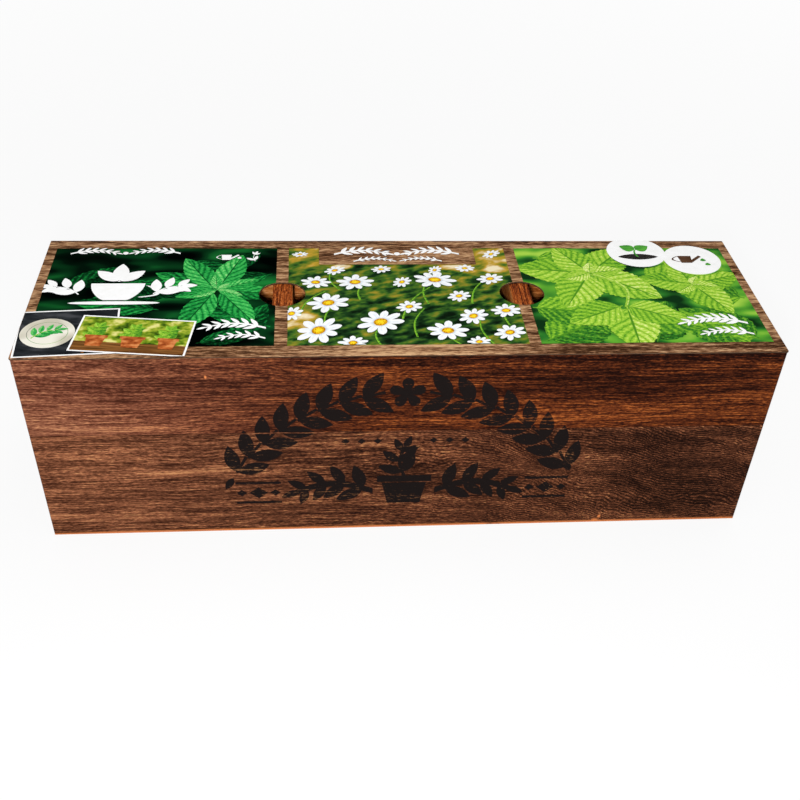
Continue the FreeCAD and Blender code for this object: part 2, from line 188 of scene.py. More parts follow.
def toned(surface, tone, stops, bump=None):
    """Colours the surface from the first stop to the last as the tone grows. bump is how strongly and
    how far, in metres, the light places stand up."""
    tree = surface.id_data
    put(surface, Base_Color=node(tree, "ValToRGB", {"Fac": tone}, stops=stops))
    if bump:
        relief = {"Height": tone, "Strength": bump[0], "Distance": bump[1]}
        put(surface, Normal=node(tree, "Bump", relief))


def streaked_finish(name, roughness, stops, length, width, detail=3.0, bump=None, **surface_values):
    """A finish in streaks this long and wide."""
    finish, tree, surface = new_finish(name, roughness, **surface_values)
    toned(surface, streaks(tree, millimetres(tree), length, width, detail), stops, bump)
    return finish


def evenly(*colours):
    """Colour stops at even steps from 0 to 1."""
    return [(index / (len(colours) - 1), colour) for index, colour in enumerate(colours)]


EASED = {"interpolation_type": "SMOOTHSTEP"}
COLOURS = {"out": 2, "data_type": "RGBA"}
WAVE_PERIOD = 0.314    # a wave texture's spacing at scale 1


def give(finish, *names):
    """Puts one finish on these CAD nodes."""
    for name in names:
        for place in NODES[name].material_slots:
            place.material = finish


# Stained hardwood: sawn, stained red-brown and left without varnish. Straight fibres in long dark and
# orange streaks, open pores as short dark dashes, and hardly any shine.

UPPER_LEFT = evenly("#402014", "#5E3324", "#784834", "#946046", "#B67E58")
UPPER_RIGHT = evenly("#180805", "#37180C", "#562813", "#7A3E1C", "#A65D2B")
LOWER_LEFT = evenly("#3A1D11", "#563220", "#774932", "#996042", "#BA8358")
LOWER_RIGHT = evenly("#180A06", "#341C11", "#54301F", "#7C4A31", "#B27C4E")
DIVIDER_TOP = evenly("#2A0E06", "#562510", "#883E18", "#AE5A24", "#D68244")
BARE_TONES = ((0.0, "#8A4416"), (0.4, "#C87236"), (0.7, "#E69450"), (1.0, "#F6B478"))
STENCIL_BLACK = "#171211"
WORN_EDGE = "#CC7A46"
GRAIN_LEVEL = -2.15    # brings the weighted noises back to tones from 0 to 1
RIPPLE_SPACING = 1.4
# Where each comes in along the boards, in millimetres: not at all at the first, fully at the second
# Darker stain, and painted shade, towards the right end
DEEP_STAIN_AND_SHADE = {"From Min": -185, "From Max": -10}
RIPPLED_GRAIN = {"From Min": -50, "From Max": 60}
FALLING_GRAIN = {"From Min": 10, "From Max": 110}
GRAIN_FALL = 0.2
FRONT = -54.8
NICKS = (
    ((104, FRONT, 0.8), (3.4, 3, 3.0)), ((106, FRONT, 4.5), (1.2, 3, 1.6)),
    ((-96, FRONT, 98.6), (0.8, 3, 1.2)),
)


def stained_board(name, left_stops, right_stops, turn=0.0, figured=False, patches=(), inked=False,
                  bare=None):
    """A stained board. The stops colour its left and right ends from dark to light. Stencil paint
    covers an inked board, except where its fibres stand proud. bare is the axis and the distance
    within which no stain went."""
    finish, tree, surface = new_finish(name, 0.65, Specular_IOR_Level=0.02)
    point = millimetres(tree, turn)
    across = node(tree, "SeparateXYZ", {"Vector": point}, out="X")

    # The fibres wander a few millimetres. On the figured board's right half they ripple and run down.
    fibres = pushed_sideways(tree, point, sway(tree, streaks(tree, point, 90, 24, 1.0), 4.0))
    if figured:
        right_half = node(tree, "MapRange", {"Value": across, **RIPPLED_GRAIN}, **EASED)
        ripple = sway(tree, streaks(tree, point, 7, 6, 0.0), 1.3)
        swirl = sway(tree, streaks(tree, point, 50, 26, 0.0), 9.0)
        curl = node(tree, "Math", {0: ripple, 1: swirl}, operation="ADD")
        curl = node(tree, "Math", {0: curl, 1: right_half}, operation="MULTIPLY")
        fall = node(tree, "Math", {0: across, 1: GRAIN_FALL}, operation="MULTIPLY")
        far_right = node(tree, "MapRange", {"Value": across, **FALLING_GRAIN}, **EASED)
        fibres = pushed_sideways(tree, fibres, weighted(tree, curl, (fall, far_right)))

    bands = streaks(tree, fibres, 140, 7, 3.0)
    lines = streaks(tree, fibres, 26, 0.7, 4.0, 0.7)
    if figured:
        ridges = node(tree, "TexWave", {
            "Vector": fibres, "Scale": WAVE_PERIOD / RIPPLE_SPACING, "Distortion": 2.5, "Detail": 1.0,
            "Detail Scale": 0.6,
        }, bands_direction="Z")
        ridges = weighted(tree, 0.39, (ridges, 0.2))
        share = node(tree, "Math", {0: right_half, 1: 0.7}, operation="MULTIPLY")
        lines = node(tree, "Mix", {0: share, 2: lines, 3: ridges}, data_type="FLOAT")
    threads = streaks(tree, fibres, 2.2, 0.5, 2.0)
    pores = streaks(tree, fibres, 3.5, 0.5, 1.0)
    dash = node(tree, "MapRange", {"Value": pores, "From Min": 0.55, "From Max": 0.68}, **EASED)
    tone = weighted(tree, GRAIN_LEVEL, (bands, 1.1), (lines, 2.6), (threads, 1.5), (dash, -0.25))
    tone = patched(tree, point, tone, patches)

    # The right end is darker: it took more stain than the left, and part of the darkening is painted shade,
    # as the light falls from the left.
    left = node(tree, "ValToRGB", {"Fac": tone}, stops=left_stops)
    right = node(tree, "ValToRGB", {"Fac": tone}, stops=right_stops)
    reach = node(tree, "MapRange", {"Value": across, **DEEP_STAIN_AND_SHADE}, **EASED)
    colour = node(tree, "Mix", {0: reach, 6: left, 7: right}, **COLOURS)
    if bare:
        axis, limit = bare
        depth = node(tree, "SeparateXYZ", {"Vector": millimetres(tree)}, out=axis)
        depth = node(tree, "Math", {0: depth}, operation="ABSOLUTE")
        raw = node(tree, "ValToRGB", {"Fac": tone}, stops=BARE_TONES)
        inside = {"Value": depth, "From Min": limit + 0.2, "From Max": limit - 0.2}
        inside = node(tree, "MapRange", inside, **EASED)
        colour = node(tree, "Mix", {0: inside, 6: colour, 7: raw}, **COLOURS)

    # The stain is worn off in places along the lower edge, and at a few nicks.
    height = node(tree, "SeparateXYZ", {"Vector": point}, out="Z")
    low = node(tree, "MapRange", {"Value": height, "From Min": 2.4, "From Max": 0.8}, **EASED)
    uneven = node(tree, "MapRange", {"Value": bands, "From Min": 0.25, "From Max": 0.45}, **EASED)
    worn = node(tree, "Math", {0: low, 1: uneven}, operation="MULTIPLY")
    for centre, half_sizes in NICKS:
        nick = patch(tree, point, centre, half_sizes)
        worn = node(tree, "Math", {0: worn, 1: nick}, operation="MAXIMUM")
    colour = node(tree, "Mix", {0: worn, 6: colour, 7: linear(WORN_EDGE)}, **COLOURS)
    if inked:
        rubbed = node(tree, "MapRange", {"Value": tone, "From Min": 0.68, "From Max": 1.05}, **EASED)
        rubbed = node(tree, "Math", {0: rubbed, 1: 0.45}, operation="MULTIPLY")
        colour = node(tree, "Mix", {0: rubbed, 6: linear(STENCIL_BLACK), 7: colour}, **COLOURS)

    ridged = weighted(tree, lines, (dash, -1.0))
    bump = node(tree, "Bump", {"Height": ridged, "Strength": 0.5, "Distance": 0.0001})
    put(surface, Base_Color=colour, Normal=bump)
    return finish


# Patches: centre, half sizes, and how much lighter or darker. The darker ones along the upper board's top
# are painted shade under the lid's front edge.
UPPER_PATCHES = (
    ((-130, FRONT, 68), (70, 200, 4), 0.22),
    # Painted shade below the lid's front edge, with darker stain, towards the right.
    ((110, FRONT, 98), (120, 200, 8), -0.22),
    ((60, FRONT, 86), (150, 200, 16), -0.12),
    # Painted shadow of the lid's front edge along the board's top.
    ((130, FRONT, 109), (130, 200, 8), -0.3),
    ((0, FRONT, 109), (110, 200, 7), -0.25),
)
LOWER_PATCHES = (
    ((20, FRONT, 54), (75, 200, 16), 0.04),
    ((-30, FRONT, 40), (65, 200, 14), -0.14),
    ((118, FRONT, 56), (50, 200, 12), -0.16),
    ((150, FRONT, 30), (70, 200, 40), -0.2),
)
# Nothing is stained inside the box, nor below the dividers' tops
BARE_INSIDE = ("Y", 45.0)
BARE_END = ("X", 172.6)
BARE_DIVIDER = ("Z", 108.5)
UPPER = {"left_stops": UPPER_LEFT, "right_stops": UPPER_RIGHT, "patches": UPPER_PATCHES}
LOWER = {"left_stops": LOWER_LEFT, "right_stops": LOWER_RIGHT, "patches": LOWER_PATCHES, "figured": True}
upper_board = stained_board("stained_hardwood_upper", bare=BARE_INSIDE, **UPPER)
lower_board = stained_board("stained_hardwood_lower", bare=BARE_INSIDE, **LOWER)
upper_ink = stained_board("stencil_paint_on_upper_board", inked=True, **UPPER)
lower_ink = stained_board("stencil_paint_on_lower_board", inked=True, **LOWER)
upper_end, lower_end, divider = [
    stained_board(name, tones, tones, turn=90, bare=bare) for name, tones, bare in (
        ("stained_hardwood_upper_end", UPPER_RIGHT, BARE_END),
        ("stained_hardwood_lower_end", LOWER_RIGHT, BARE_END),
        ("sawn_divider_hardwood", DIVIDER_TOP, BARE_DIVIDER),
    )
]
give(upper_board, "front_upper_board", "back_upper_board")
give(lower_board, "front_lower_board", "back_lower_board")
give(upper_end, "left_end_upper_board", "right_end_upper_board")
give(lower_end, "left_end_lower_board", "right_end_lower_board")
give(divider, "left_divider", "right_divider")


# Printed wood of the lid: an offset print of pale brown planks on matt paper, so it is flat.

PRINTED_TONES = ((0.0, "#3A2416"), (0.3, "#6A4830"), (0.6, "#93694A"), (1.0, "#CDA47A"))
MIDDLE_TONE = 0.53
MIDDLE_OF_BOTH = 0.875    # half of the bands' and the lines' weights together


def plain_grain(name, stops, roughness, band, contrast, patches=()):
    """Straight-grained wood, bare or printed, in bands this wide, with lighter or darker patches."""
    finish, tree, surface = new_finish(name, roughness, Specular_IOR_Level=0.0)
    point = millimetres(tree)
    fibres = pushed_sideways(tree, point, sway(tree, streaks(tree, point, 60, 16, 1.0), 3.0))
    bands = streaks(tree, fibres, 90, band, 3.0)
    lines = streaks(tree, fibres, 5, 0.6, 3.0, 0.65)
    both = weighted(tree, lines, (bands, 0.75))
    tone = weighted(tree, MIDDLE_TONE - MIDDLE_OF_BOTH * contrast, (both, contrast))
    tone = patched(tree, point, tone, patches)
    toned(surface, tone, stops)
    return finish


LID_PATCHES = (
    ((130, -51, 110), (110, 12, 9), -0.3),
    ((20, -51, 110), (60, 12, 9), 0.16),
    ((-70, -51, 110), (50, 12, 9), -0.16),
    ((-140, 51, 110), (80, 12, 9), -0.14),
)
lid_wood = plain_grain("printed_wood_on_matt_paper", PRINTED_TONES, 0.6, 3.0, 3.4, LID_PATCHES)
give(lid_wood, "lid_print")


# Flat motifs of the prints: herbs, blossoms and plain signs. Each is modelled once as a thin closed
# film, one unit long or one in radius, and copied.

FILM = 0.01 * MM
STEP = 0.008 * MM
CLEAR_STEP = 0.012 * MM    # more than a film, for films that are cut off together
THINNEST = 0.003    # a blade's least half width, so that its tip has an edge
LID_TOP = 110.0


def only(piece):
    """Selects this piece alone."""
    bpy.ops.object.select_all(action="DESELECT")
    piece.select_set(True)
    bpy.context.view_layer.objects.active = piece


def mode(name):
    bpy.ops.object.mode_set(mode=name)


def select_corners(test):
    """In edit mode, selects the corners whose place passes the test, and all that lies between them."""
    mesh = bpy.context.object.data
    shape = bmesh.from_edit_mesh(mesh)
    for corner in shape.verts:
        corner.select = test(corner.co)
    shape.select_flush_mode()
    bmesh.update_edit_mesh(mesh)


def applied(piece, kind, **settings):
    """Adds a modifier to the piece and applies it."""
    modifier = piece.modifiers.new(kind.lower(), kind)
    for name, value in settings.items():
        setattr(modifier, name, value)
    only(piece)
    bpy.ops.object.modifier_apply(modifier=modifier.name)


def painted(piece, finish):
    piece.data.materials.clear()
    piece.data.materials.append(finish)
    return piece


def film(piece, finish):
    """The flat piece made a closed film."""
    applied(piece, "SOLIDIFY", thickness=FILM, offset=1.0)
    return painted(piece, finish)


def blade(finish, half_width, bend=lambda reach: 0.0, rows=32, columns=4):
    """A leaf, petal or stalk along X. half_width and bend give its half width and sideways shift at
    each reach from 0 to 1."""
    only(camera)
    bpy.ops.mesh.primitive_grid_add(x_subdivisions=rows, y_subdivisions=columns, size=1,
                                    location=(0.5, 0, 0))
    piece = bpy.context.object
    bpy.ops.object.transform_apply()
    mode("EDIT")
    for row in range(rows + 1):
        reach = row / rows
        select_corners(lambda place: abs(place.x - reach) < 0.2 / rows)
        bpy.ops.transform.resize(value=(1, 2 * max(half_width(reach), THINNEST), 1))
        bpy.ops.transform.translate(value=(0, bend(reach), 0))
    mode("OBJECT")
    return film(piece, finish)


def roundel(finish, corners=48):
    """A disc one unit in radius."""
    only(camera)
    bpy.ops.mesh.primitive_circle_add(vertices=corners, radius=1, fill_type="NGON")
    return film(bpy.context.object, finish)


def slip(finish, taper=1.0):
    """A rectangle one unit each way, its lower edge narrowed by taper."""
    only(camera)
    bpy.ops.mesh.primitive_plane_add(size=1)
    piece = bpy.context.object
    mode("EDIT")
    select_corners(lambda place: place.y < 0)
    bpy.ops.transform.resize(value=(taper, 1, 1))
    mode("OBJECT")
    return film(piece, finish)


def laid(master, place, length, turn=0.0, width=None, tone=0.5):
    """A copy of a master, turned and laid at a place. Its unit is this long and wide in millimetres."""
    copy = master.copy()
    copy.data = master.data.copy()
    bpy.context.scene.collection.objects.link(copy)
    copy.location = (place[0] * MM, place[1] * MM, 0)
    copy.rotation_euler = (0, 0, radians(turn))
    copy.scale = (length * MM, (width or length) * MM, 1)
    shade = copy.data.attributes.new("tone", "FLOAT", "POINT")
    shade.data.foreach_set("value", [tone] * len(copy.data.vertices))
    return copy


def joined(copies):
    """One mesh of several, with its place in its mesh. Mirrored copies are turned the right side out."""
    only(copies[0])
    for copy in copies:
        copy.select_set(True)
    bpy.ops.object.join()
    piece = bpy.context.object
    bpy.ops.object.transform_apply()
    mode("EDIT")
    bpy.ops.mesh.select_all(action="SELECT")
    bpy.ops.mesh.normals_make_consistent(inside=False)
    mode("OBJECT")
    return piece


def trimmed(piece, left, front, right, back):
    """Cuts off what lies outside the window, in millimetres."""
    only(piece)
    mode("EDIT")
    for x, y, outward in ((left, 0, (-1, 0, 0)), (right, 0, (1, 0, 0)),
                          (0, front, (0, -1, 0)), (0, back, (0, 1, 0))):
        bpy.ops.mesh.select_all(action="SELECT")
        bpy.ops.mesh.bisect(plane_co=(x * MM, y * MM, 0), plane_no=outward, use_fill=True,
                            clear_outer=True)
    mode("OBJECT")
    return piece


def printed_set(name, copies, height, window, step=STEP, place=(0, 0), turn=0.0, body="lid"):
    """Joins motifs into one print, each a step above the one before. The print is turned, put at its
    place and cut off at its window's edges, if it has one."""
    for index, copy in enumerate(copies):
        copy.location.z = height * MM + index * step
    piece = joined(copies)
    piece.location = (place[0] * MM, place[1] * MM, 0)
    piece.rotation_euler = (0, 0, radians(turn))
    bpy.ops.object.transform_apply()
    if window:
        trimmed(piece, *window)
    piece.name = name
    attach(piece, body)


# Offset print on matt paper: the ink lies in the paper, so nothing stands up and nothing shines, and
# its darks stay deep.

PAPER = {"roughness": 0.6, "Specular_IOR_Level": 0.0}


def soft_print(name, stops, length, width, detail=1.0, turn=0.0, glow=()):
    """A print that is out of focus: soft patches this long and wide, lit or shaded at some places."""
    finish, tree, surface = new_finish(name, **PAPER)
    point = millimetres(tree, turn)
    tone = streaks(tree, point, length, width, detail, 0.5)
    glow = [((*centre, LID_TOP), (*half_sizes, 50.0), amount) for centre, half_sizes, amount in glow]
    tone = patched(tree, millimetres(tree), tone, glow)
    toned(surface, tone, stops)
    return finish


def printed_leaf(name, stops, vein, vein_pairs):
    """A printed leaf: a midrib, side veins that run towards the tip, and a quilted face that is lit
    from one side."""
    finish, tree, surface = new_finish(name, **PAPER)
    unwrapped = node(tree, "UVMap")
    along = node(tree, "SeparateXYZ", {0: unwrapped}, out="X")
    across = node(tree, "SeparateXYZ", {0: unwrapped}, out="Y")
    side = node(tree, "Math", {0: across, 1: 0.5}, operation="SUBTRACT")
    aside = node(tree, "Math", {0: side}, operation="ABSOLUTE")
    swept = weighted(tree, along, (aside, -0.55))
    rows = node(tree, "Math", {0: swept, 1: vein_pairs}, operation="MULTIPLY")
    gap = node(tree, "Math", {0: rows, 1: 0.5}, operation="PINGPONG")
    side_veins = node(tree, "MapRange", {"Value": gap, "From Min": 0.1, "From Max": 0.03}, **EASED)
    side_veins = node(tree, "Math", {0: side_veins, 1: 0.6}, operation="MULTIPLY")
    midrib = node(tree, "MapRange", {"Value": aside, "From Min": 0.035, "From Max": 0.012}, **EASED)
    veins = node(tree, "Math", {0: side_veins, 1: midrib}, operation="MAXIMUM")

    tone = node(tree, "Attribute", out="Fac", attribute_name="tone")
    quilt = node(tree, "MapRange", {"Value": gap, "From Min": 0.0, "From Max": 0.5}, **EASED)
    lit_half = node(tree, "MapRange", {"Value": side, "From Min": -0.06, "From Max": 0.06}, **EASED)
    crinkle = streaks(tree, millimetres(tree), 1.6, 1.2)
    tone = weighted(tree, tone, (quilt, 0.2), (lit_half, 0.16), (crinkle, 0.9))
    tone = node(tree, "Math", {0: tone, 1: 0.63}, operation="SUBTRACT")
    face = node(tree, "ValToRGB", {"Fac": tone}, stops=stops)
    put(surface, Base_Color=node(tree, "Mix", {0: veins, 6: face, 7: linear(vein)}, **COLOURS))
    return finish


# Bare white paper. A very faint mottle keeps it from looking like a lamp.
white = streaked_finish(
    "bare_white_paper", stops=((0.3, "#F8F8F6"), (0.6, "#FFFFFF")), length=5, width=5, **PAPER)
dark_ground = soft_print("printed_shade", (
    (0.38, "#010302"), (0.5, "#03140A"), (0.62, "#0A3A1A"), (0.78, "#1C7A34"),
), 30, 13, glow=(((-150, -12), (40, 22), 0.12), ((-75, -20), (30, 30), 0.06)))
meadow_ground = soft_print("printed_meadow", (
    (0.3, "#0C1A0D"), (0.42, "#1D3D1C"), (0.52, "#416A24"), (0.62, "#7C7F28"), (0.78, "#C09A34"),
    (1.0, "#F1E3BE"),
), 9, 5, 2.5, turn=-20, glow=(
    ((46, 44), (50, 34), 0.24), ((-40, 40), (30, 18), 0.18), ((0, -30), (70, 30), -0.08),
    ((-30, 27), (9, 4), 0.4), ((28, 26), (11, 4), 0.4), ((-52, -24), (12, 14), 0.4),
    ((50, 24), (9, 6), 0.4),
))
bright_ground = soft_print("printed_sunlit_leaves", (
    (0.36, "#103116"), (0.48, "#2C7429"), (0.58, "#60A832"), (0.72, "#A9D44C"),
), 22, 12, glow=(((80, 42), (30, 12), 0.16), ((160, 10), (26, 40), 0.12), ((85, -40), (40, 16), -0.1)))

deep_leaf = printed_leaf("printed_deep_green_leaf", (
    (0.0, "#020A05"), (0.2, "#0A4520"), (0.45, "#1E9640"), (0.7, "#48C25C"), (0.9, "#A0E48C"),
), "#0B4A20", 7)
light_leaf = printed_leaf("printed_light_green_leaf", (
    (0.0, "#123816"), (0.2, "#2F7A27"), (0.45, "#82BC30"), (0.7, "#B4DA4C"), (0.95, "#EEF7A2"),
), "#4E8C24", 8)

# A white petal: fine lines along it, and grey-green where it goes under the middle.
petal_print, tree, surface = new_finish("printed_petal", **PAPER)
unwrapped = node(tree, "UVMap")
along = node(tree, "SeparateXYZ", {0: unwrapped}, out="X")
lines = streaks(tree, unwrapped, 0.8, 0.12, 2.0)
inner = node(tree, "MapRange", {"Value": along, "From Min": 0.5, "From Max": 0.15}, **EASED)
tone = node(tree, "Attribute", out="Fac", attribute_name="tone")
tone = weighted(tree, tone, (lines, 0.9), (inner, -0.35))
toned(surface, tone, ((0.35, "#8FA08A"), (0.7, "#C7D2DA"), (0.9, "#EDF2F7"), (1.0, "#FFFFFF")))

# A blossom's yellow middle, darker and grainy towards its edge.
middle_print, tree, surface = new_finish("printed_blossom_middle", **PAPER)
centred = node(tree, "VectorMath", {0: node(tree, "UVMap"), 1: (0.5, 0.5, 0.0)}, out="Value",
               operation="DISTANCE")
grains = streaks(tree, millimetres(tree), 0.7, 0.7, 1.0)
tone = weighted(tree, grains, (centred, -1.1))
toned(surface, tone, ((0.0, "#B07008"), (0.12, "#E9AE12"), (0.35, "#FBDD2E")))

slate_print = soft_print("printed_slate", ((0.3, "#141619"), (0.5, "#26292C"), (0.7, "#45464A")),
                         14, 5, 3.0, turn=8)
cream_print = soft_print("printed_glazed_plate", ((0.35, "#C9C3B0"), (0.6, "#EFEBDD")), 16, 12)
garden_print = soft_print("printed_garden", (
    (0.32, "#2C4A12"), (0.45, "#6C8A1E"), (0.56, "#A9B43A"), (0.68, "#E3DD8A"),
), 5, 4, 2.0)
table_print = soft_print("printed_table", ((0.35, "#4A2C14"), (0.6, "#8E5E30")), 18, 1.2, 3.0, turn=6)
clay_print = soft_print("printed_terracotta", ((0.35, "#8C3F1C"), (0.5, "#BB6431"), (0.65, "#D98B52")),
                        4, 3, 2.0)
brown_print = soft_print("printed_brown_sign", ((0.3, "#4B3222"), (0.7, "#5E4230")), 6, 3)
green_print = soft_print("printed_green_sign", ((0.3, "#3E8A34"), (0.7, "#5FB043")), 6, 3)
soil_print = soft_print("printed_soil_sign", ((0.35, "#141414"), (0.6, "#3A3634")), 1.2, 0.8)


def swelling(width, fullest, sharpness=0.8, stem=0.06):
    """A leaf's half width: a thin stem, then a blade that is widest near fullest."""
    power = log(0.5) / log(fullest)

    def half_width(reach):
        if reach < stem:
            return 0.012
        blade_reach = (reach - stem) / (1 - stem)
        return width * max(sin(pi * min(blade_reach, 1.0) ** power), 0.0) ** sharpness
    return half_width


def scalloped(half_width, scallops, depth):
    """The same outline with a finely scalloped edge."""
    return lambda reach: half_width(reach) * (1 + depth * cos(2 * pi * scallops * reach))


long_leaf = swelling(0.2, 0.45)
broad_leaf = swelling(0.33, 0.36)
petal_outline = swelling(0.19, 0.66, 0.5, 0.0)
drop_outline = swelling(0.34, 0.3, 0.8, 0.0)


def arching(reach):
    """A stalk's gentle arch."""
    return 0.1 * sin(pi * reach)


def looping(reach):
    """A handle's high arch."""
    return 0.4 * sin(pi * reach)


def narrow(finish, half_width=lambda reach: 0.014 * (1.3 - 0.6 * reach), bend=arching, rows=12):
    """A narrow blade: an arched stalk, a little thinner towards its tip, unless told otherwise."""
    return blade(finish, half_width, bend, rows, 2)


def even(half_width):
    return lambda reach: half_width


deep = blade(deep_leaf, scalloped(long_leaf, 12, 0.03), rows=48)
light = blade(light_leaf, scalloped(broad_leaf, 14, 0.035), rows=56)
light_stalk = narrow(light_leaf)
white_leaf = blade(white, long_leaf)
white_drop = blade(white, drop_outline)
white_stalk = narrow(white)
white_loop = narrow(white, even(0.05), looping, 16)
white_spout = narrow(white, even(0.05), even(0), 8)
white_disc = roundel(white)
white_slip = slip(white)
white_can = slip(white, 0.8)
petal = narrow(petal_print, petal_outline, even(0), 14)
middle = roundel(middle_print, 32)
heart = laid(middle, (0, 0), 290)
heart.location.z = 3.6 * FILM
petals = [laid(petal, (0, 0), 1000 - 90 * (turn % 2), 40 * turn) for turn in range(9)]
for turn, copy in enumerate(petals):
    copy.location.z = turn % 3 * 1.2 * FILM    # neighbours lie over and under each other
blossom = joined(petals + [heart])


STALK_SCALE = 1.4    # how much a sprig's stalk is widened, and so its arch
STALK_SLOPE = 0.44    # of that arch at the stalk's foot


def sprig(leaf, stalk, start, length, turn, leaf_length, pairs, spread, tone=0.5, fullness=1.0):
    """A stalk that arches upward, with pairs of leaves and one at its tip, as copies. fullness widens
    the leaves."""
    upward = -1 if 90 < turn < 270 else 1
    copies = [laid(stalk, start, length, turn, upward * length * STALK_SCALE, tone)]
    heading = Vector((cos(radians(turn)), sin(radians(turn))))
    sideways = Vector((-heading.y, heading.x))
    for pair in range(pairs + 1):
        reach = 0.12 + 0.72 * pair / max(pairs - 1, 1) if pair < pairs else 0.93
        bow = STALK_SCALE * arching(reach) * upward
        lean = turn + upward * degrees(atan(STALK_SLOPE * cos(pi * reach)))
        place = Vector(start) + (heading * reach + sideways * bow) * length
        size = leaf_length * (1 - 0.4 * reach)
        for side in (1, -1) if pair < pairs else (0,):
            shade = tone + 0.06 * side
            copies.append(laid(leaf, place, size, lean + side * spread, size * fullness, shade))
    return copies


def scattered(leaf, rows):
    return [laid(leaf, (x, y), length, turn, tone=tone) for x, y, length, turn, tone in rows]


def white_sprig(start, length, turn, leaf_length, pairs, spread=38, fullness=0.75):
    """A sprig of bare paper."""
    return sprig(white_leaf, white_stalk, start, length, turn, leaf_length, pairs, spread,
                 fullness=fullness)


# The lid's three panels, each cut out round the finger holes.

PANELS = {
    "left": (-177.8, -46.5, -63.9, 46.6),
    "middle": (-57.8, -46.5, 57.3, 46.6),
    "right": (63.0, -46.5, 177.8, 46.6),
}
LID_EDGES = (-182.3, -54.8, 182.3, 54.8)
HOLE_PLACES = (-60.6, 60.6)
HOLE_RADIUS = 11.5
PANEL_HEIGHT = LID_TOP + 0.002
MOTIF_HEIGHT = LID_TOP + 0.02
CARD_HEIGHT = LID_TOP + 0.2


def clear_of_holes(copies):
    """Cuts the finger holes out of the copies that may reach over them."""
    for place in HOLE_PLACES:
        only(camera)
        bpy.ops.mesh.primitive_cylinder_add(vertices=64, radius=HOLE_RADIUS * MM, depth=20 * MM,
                                            location=(place * MM, 0, 0))
        cutter = bpy.context.object
        for copy in copies:
            if (copy.location - cutter.location).length < max(copy.dimensions) + HOLE_RADIUS * MM:
                applied(copy, "BOOLEAN", operation="DIFFERENCE", object=cutter)
        bpy.data.objects.remove(cutter)
    return copies


for side, finish in (("left", dark_ground), ("middle", meadow_ground), ("right", bright_ground)):
    left, front, right, back = PANELS[side]
    centre = ((left + right) / 2, (front + back) / 2)
    sheet = laid(slip(finish), centre, right - left, width=back - front)
    printed_set(side + "_panel_print", clear_of_holes([sheet]), PANEL_HEIGHT, LID_EDGES)


# Left panel: a bunch of long leaves against the shade, with plain white signs.

DEEP_LEAVES = (
    # x, y, length, turn, tone
    (-158, -8, 44, 12, 0.16), (-120, -14, 42, 170, 0.22), (-170, 4, 36, 40, 0.1), (-140, 12, 40, -20, 0.13),
    (-100, -22, 44, -150, 0.18), (-66, -30, 40, 150, 0.24), (-110, 34, 40, -35, 0.12),
    (-66, 20, 34, 200, 0.2), (-84, -44, 38, 65, 0.22), (-100, -44, 30, 20, 0.14), (-72, 44, 30, 230, 0.08),
    (-93, 4, 34, -8, 0.42), (-93, 4, 36, 152, 0.4), (-94, 3, 38, -112, 0.46), (-92, 3, 34, -58, 0.5),
    (-94, 4, 36, 118, 0.52), (-93, 4, 37, 72, 0.58), (-92, 4, 22, 28, 0.56), (-94, 3, 20, 196, 0.5),
    (-93, 4, 15, 96, 0.66), (-93, 4, 14, -24, 0.7), (-93, 4, 13, -150, 0.68), (-93, 4, 9, 45, 0.78),
)
deep_leaves = scattered(deep, DEEP_LEAVES)
printed_set("left_panel_leaves", clear_of_holes(deep_leaves), MOTIF_HEIGHT, PANELS["left"])

SIGN_HEIGHT = MOTIF_HEIGHT + 0.19


def can_sign(body, loop, spout, drop, place, size):
    """A watering can with a falling drop, about this many millimetres wide."""
    x, y = place
    return [
        laid(body, (x, y), 0.44 * size, width=0.44 * size),
        laid(loop, (x - 0.2 * size, y - 0.16 * size), 0.36 * size, 96, 0.5 * size),
        laid(spout, (x + 0.16 * size, y - 0.14 * size), 0.5 * size, 44, size),
        laid(drop, (x + 0.56 * size, y - 0.12 * size), 0.18 * size, 90, 0.26 * size),
    ]


white_bowl = blade(white, lambda reach: 0.5 * (0.42 + 0.58 * sin(0.5 * pi * reach) ** 0.7), rows=20)
white_saucer = blade(white, lambda reach: 0.5 * sin(pi * reach) ** 0.4, rows=32)

# A cup on a saucer with three leaves over it, 44 mm wide, then sprigs and a watering can.
x, y, size = -142, -8, 44
left_signs = [
    laid(white_saucer, (x - 0.5 * size, y), size, width=0.07 * size),
    laid(white_bowl, (x, y + 0.06 * size), 0.36 * size, 90, 0.6 * size),
    laid(white_loop, (x + 0.26 * size, y + 0.12 * size), 0.26 * size, 74, -0.42 * size),
]
for length, turn in ((0.4, 90), (0.36, 138), (0.36, 42)):
    left_signs.append(laid(white_leaf, (x, y + 0.46 * size), length * size, turn, 1.15 * length * size))
for side in (-1, 1):
    left_signs += white_sprig((-142 + 18 * side, 0), 16, 90 - 62 * side, 13, 3, 44, 1.1)
    left_signs += white_sprig((-142 + 28 * side, 40.5), 25, 90 + 90 * side, 6, 6, 35, 0.7)
left_signs.append(laid(white_disc, (-142, 40.5), 1.4))
left_signs += can_sign(white_can, white_loop, white_spout, white_drop, (-90, 36), 12)
left_signs += white_sprig((-75, 32), 8, 90, 5, 2, 40, 1.0)
left_signs += white_sprig((-68, -32), 30, 180, 8, 6)
left_signs += white_sprig((-68, -41), 22, 180, 6, 5)
printed_set("left_panel_signs", left_signs, SIGN_HEIGHT, PANELS["left"])


# Middle panel: a meadow of white blossoms on thin stalks, with a plate of printed wood.

